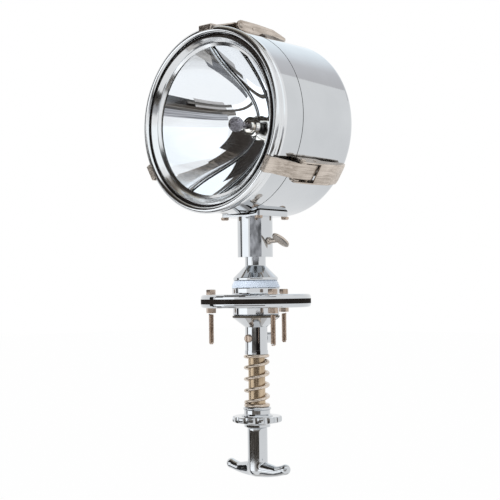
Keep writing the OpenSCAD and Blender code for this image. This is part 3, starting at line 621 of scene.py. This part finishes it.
def layLensRings(size):
    for name, (radius, forward, thick) in size["seals"].items():
        layShadeRing(name, radius, forward, thick, size)
    for name, (finish, slotName, profile) in size["glass"].items():
        newPiece(name, spinOnLens(profile, size["steps"], closed=True), finish, "head")


layLensRings(lensRings)
print("lamp pieces shaped")

clampSpring = {"wire": 3.2, "wireSides": 16, "coil": 10.4, "firstTurn": 180, "stepsInTurn": 56, "travel": 8,
               # turns and their share of the full pitch
               "stretches": [(0.75, 0), (0.2, 0.5), (4.1, 1), (0.2, 0.5), (0.75, 0)]}


def windSpring(size):
    # round wire wound upwards: closed turns at both ends, open ones between
    bm = bmesh.new()
    foot, top = (corner[2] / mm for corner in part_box("tension_spring"))
    turn = Matrix.Rotation(radians(size["firstTurn"]), 4, "Z")
    start = Vector((size["coil"], 0, foot + size["wire"] / 2)) * mm
    upright = turn @ Matrix.Translation(start) @ Matrix.Rotation(pi / 2, 4, "X")
    ring = bmesh.ops.create_circle(bm, segments=size["wireSides"], radius=size["wire"] / 2 * mm,
                                   cap_ends=False, matrix=upright)
    firstEdges = bm.edges[:]
    live = ring["verts"] + firstEdges
    pitch = (top - foot - size["wire"]) / sum(turns * share for turns, share in size["stretches"])
    for turns, share in size["stretches"]:
        steps = round(turns * size["stepsInTurn"])
        rise = pitch * share * turns / steps * mm
        made = bmesh.ops.spin(bm, geom=live, cent=(0, 0, 0), axis=(0, 0, 1), dvec=(0, 0, rise),
                              angle=2 * pi * turns, steps=steps, use_merge=False)
        live = made["geom_last"]
    for end in (firstEdges, only(bmesh.types.BMEdge, live)):
        bmesh.ops.contextual_create(bm, geom=end)
    faceOutwards(bm)
    spring = newPiece("clampSpring", bm, "springSteel", "spindle", "tension_spring", 50)
    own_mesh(spring)


windSpring(clampSpring)

spindleRings = {
    "steps": 96,
    "rings": {
        # finish, body, slot, profiles in radius and height: a dark ring on the cup's rim as painted shade
        # under the flange's seat, turned rings of the nut
        "cupBand": ("rimShadeBrown", "cup", "rubber", [
            [(21.2, -10.85), (21.6, -10.85), (21.8, -11.05), (21.8, -12.6), (21.6, -12.8), (21.2, -12.8)]]),
        "nutRings": ("chrome", "tension_nut", "chrome", [
            [(11, -95.05), (12.2, -95.1), (12.8, -95.7), (12.95, -96.4), (12.8, -97.1), (12.2, -97.7),
             (11, -97.75)],
            [(11, -100.9), (12.2, -101.2), (13.2, -102), (14.4, -102.4), (14.6, -103.4), (11, -103.4)],
            [(10.8, -108.5), (13.4, -108.5), (13.4, -109.6), (12.6, -110.2), (12, -111), (10.8, -111.2)]]),
    },
}


def wrapRings(size):
    for name, (finish, body, slotName, profiles) in size["rings"].items():
        bm = bmesh.new()
        for profile in profiles:
            points = [Vector((r, 0, height)) * mm for r, height in profile]
            fullSpin(bm, joinedPath(bm, points, closed=True), (0, 0, 0), (0, 0, 1), size["steps"])
        faceOutwards(bm)
        newPiece(name, bm, finish, body)


wrapRings(spindleRings)

deckBolt = {"circle": 42.3, "firstAngle": 92.5, "count": 3, "sides": 32,
            "flats": 8, "headFoot": 8.7, "headHeight": 4.8, "headEase": 0.7, "easeSteps": 3,
            "shank": 2.5, "shankFoot": -8.3, "intoHead": 0.1, "intoThread": 0.2,
            "tail": 29, "tip": 0.9, "tipDraw": 0.5, "threadFrom": 0.6,
            "crest": 2.45, "root": 1.95, "pitch": 1.25, "crestSpan": (0.4, 0.6), "stepsInTurn": 20}


def addCone(bm, foot, top, footRadius, topRadius, sides):
    bmesh.ops.create_cone(bm, cap_ends=True, segments=sides, radius1=footRadius * mm, radius2=topRadius * mm,
                          depth=(top - foot) * mm, matrix=Matrix.Translation((0, 0, (top + foot) / 2 * mm)))


def turnBolts(size):
    # chamfered hex heads, plain shanks and a wound thread on the free ends
    bm = bmesh.new()
    corner = size["flats"] / 3 ** 0.5
    addCone(bm, size["headFoot"], size["headFoot"] + size["headHeight"], corner, corner, 6)
    halfway = (size["headFoot"] + size["headHeight"] / 2) * mm
    rim = [edge for edge in bm.edges if all(vert.co.z > halfway for vert in edge.verts)]
    bmesh.ops.bevel(bm, geom=rim, offset=size["headEase"] * mm, offset_type="OFFSET", affect="EDGES",
                    segments=size["easeSteps"], profile=0.5, material=-1)
    addCone(bm, size["shankFoot"] - size["intoThread"], size["headFoot"] + size["intoHead"], size["shank"],
            size["shank"], size["sides"])
    tailFoot = size["shankFoot"] - size["tail"]
    addCone(bm, tailFoot, tailFoot + size["tip"], size["root"] - size["tipDraw"], size["root"], size["sides"])
    turns = int((size["tail"] - size["threadFrom"]) / size["pitch"]) - 1
    crestFrom, crestTo = size["crestSpan"]
    ridge = ((size["root"], 0), (size["crest"], crestFrom), (size["crest"], crestTo), (size["root"], 1))
    thread = joinedPath(bm, [Vector((r, 0, tailFoot + size["threadFrom"] + climb * size["pitch"])) * mm
                             for r, climb in ridge])
    bmesh.ops.spin(bm, geom=thread, cent=(0, 0, 0), axis=(0, 0, 1),
                   dvec=(0, 0, size["pitch"] / size["stepsInTurn"] * mm), angle=2 * pi * turns,
                   steps=turns * size["stepsInTurn"], use_merge=False)
    weld(bm, "thread")
    faceOutwards(bm)
    bmesh.ops.translate(bm, verts=bm.verts, vec=(size["circle"] * mm, 0, 0))
    bmesh.ops.rotate(bm, verts=bm.verts, cent=(0, 0, 0),
                     matrix=Matrix.Rotation(radians(size["firstAngle"]), 3, "Z"))
    first = bm.verts[:] + bm.edges[:] + bm.faces[:]
    for copy in range(1, size["count"]):
        made = bmesh.ops.duplicate(bm, geom=first)["geom"]
        bmesh.ops.rotate(bm, verts=only(bmesh.types.BMVert, made), cent=(0, 0, 0),
                         matrix=Matrix.Rotation(2 * pi * copy / size["count"], 3, "Z"))
    newPiece("deckBolt", bm, "boltSteel", "base", "deck_bolts", 30)


turnBolts(deckBolt)

thumbScrew = {"middle": 31.0, "halfLength": 10.8, "halfWidth": 5.6, "rim": 1.9, "turn": 60, "teeth": 30,
              "notch": 0.97,  # share of the radius that is left in a notch
              "crown": [(0.5, 0.25), (1.6, 0.3)],  # step inwards and rise of the face
              "neckSides": 32,
              "neck": [(9.9, 0), (9.9, 2.2), (10.4, 2.6), (16.65, 2.6), (16.65, 3.4), (18, 3.4), (19.2, 2.3),
                       (29, 2), (29, 0)]}


def turnThumbScrew(size):
    # oval spade with a notched rim and a crowned face, on a turned neck
    height = middleOf("thumbscrew").z
    bm = bmesh.new()
    neck = joinedPath(bm, [Vector((along * mm, 0, height + r * mm)) for along, r in size["neck"]])
    fullSpin(bm, neck, (0, 0, height), (1, 0, 0), size["neckSides"])
    lean = radians(size["turn"])
    longWay = Vector((0, sin(lean), -cos(lean)))
    facing = longWay.cross(Vector((1, 0, 0)))
    basis = Matrix((longWay, (1, 0, 0), facing)).transposed().to_4x4()
    shape = Matrix.Diagonal((size["halfLength"] * mm, size["halfWidth"] * mm, 1, 1))
    spot = Vector((size["middle"] * mm, 0, height)) - facing * size["rim"] / 2 * mm
    blade = bmesh.ops.create_circle(bm, segments=2 * size["teeth"], radius=size["notch"], cap_ends=True,
                                    matrix=Matrix.Translation(spot) @ basis @ shape)["verts"]
    bmesh.ops.scale(bm, verts=blade[::2], vec=(1 / size["notch"],) * 3, space=Matrix.Translation(-spot))
    plate = list({face for vert in blade for face in vert.link_faces})
    grown = bmesh.ops.extrude_face_region(bm, geom=plate, use_keep_orig=True)["geom"]
    bmesh.ops.translate(bm, verts=only(bmesh.types.BMVert, grown), vec=facing * size["rim"] * mm)
    faces = plate + only(bmesh.types.BMFace, grown)
    faceOutwards(bm)
    for inset, rise in size["crown"]:
        bmesh.ops.inset_region(bm, faces=faces, thickness=inset * mm, depth=rise * mm, use_even_offset=True)
    weld(bm, "made")
    faceOutwards(bm)
    newPiece("thumbScrew", bm, "nickel", "thumbscrew", "thumbscrew", 32)


turnThumbScrew(thumbScrew)


def mergedCopy(nodeName):
    bm = bmesh.new()
    bm.from_mesh(nodes[nodeName].data)
    weld(bm, "copied")
    return bm


handleCast = {"voxel": 0.9, "melt": 9, "meltShare": 0.5}


def castHandle(size):
    # the T handle as one casting: its arms run into the shank in soft hollows
    handle = newPiece("handleCast", mergedCopy("t_handle"), "chrome", "spindle", "t_handle")
    skin = handle.modifiers.new("skin", "REMESH")
    skin.mode = "VOXEL"
    skin.voxel_size = size["voxel"] * mm
    skin.use_smooth_shade = True
    melt = handle.modifiers.new("melt", "SMOOTH")
    melt.factor = size["meltShare"]
    melt.iterations = size["melt"]


castHandle(handleCast)
print("control pieces shaped")

easedEdges = {
    "flat": 0.6,  # degrees below which faces are joined
    "sharp": 32,  # degrees above which an edge is eased
    "steps": 2,
    "latches": {"lever": 0.5, "strap": 0.4},  # radius of the eased edge
    "sides": ("top", "right", "left"),
    "others": {
        # node: finish, body, slot, radius of the eased edge
        "latch_brackets": ("nickel", "head", "nickel", 0.35),
        "deck_nuts": ("boltSteel", "base", "nickel", 0.5),
        "tension_nut": ("chrome", "tension_nut", "chrome", 0.5),
        "saddle_bracket": ("chrome", "head", "chrome", 0.4),
        "clamp_cup": ("chrome", "cup", "chrome", 0.35),
        "stem_bell": ("chrome", "spindle", "chrome", 0.35),
    },
}


def easeEdges(nodeName, finish, body, width, size):
    # a merged copy of the solid with its sharp edges rounded over
    bm = mergedCopy(nodeName)
    bmesh.ops.dissolve_limit(bm, angle_limit=radians(size["flat"]), use_dissolve_boundaries=False,
                             verts=bm.verts, edges=bm.edges)
    sharp = radians(size["sharp"])
    crease = [edge for edge in bm.edges if edge.is_manifold and edge.calc_face_angle(0) > sharp]
    bmesh.ops.bevel(bm, geom=crease, offset=width * mm, offset_type="OFFSET", affect="EDGES",
                    segments=size["steps"], profile=0.5, material=-1, clamp_overlap=True)
    words = nodeName.split("_")
    name = words[0] + "".join(word.capitalize() for word in words[1:])
    piece = newPiece(name, bm, finish, body, nodeName, 40)
    flat = piece.modifiers.new("evenFaces", "WEIGHTED_NORMAL")
    flat.keep_sharp = True


def easeAll(size):
    for part, width in size["latches"].items():
        for side in size["sides"]:
            easeEdges(f"latch_{part}_{side}", "nickel", f"{part}_{side}", width, size)
    for nodeName, (finish, body, slotName, width) in size["others"].items():
        easeEdges(nodeName, finish, body, width, size)


easeAll(easedEdges)
print("edges eased")
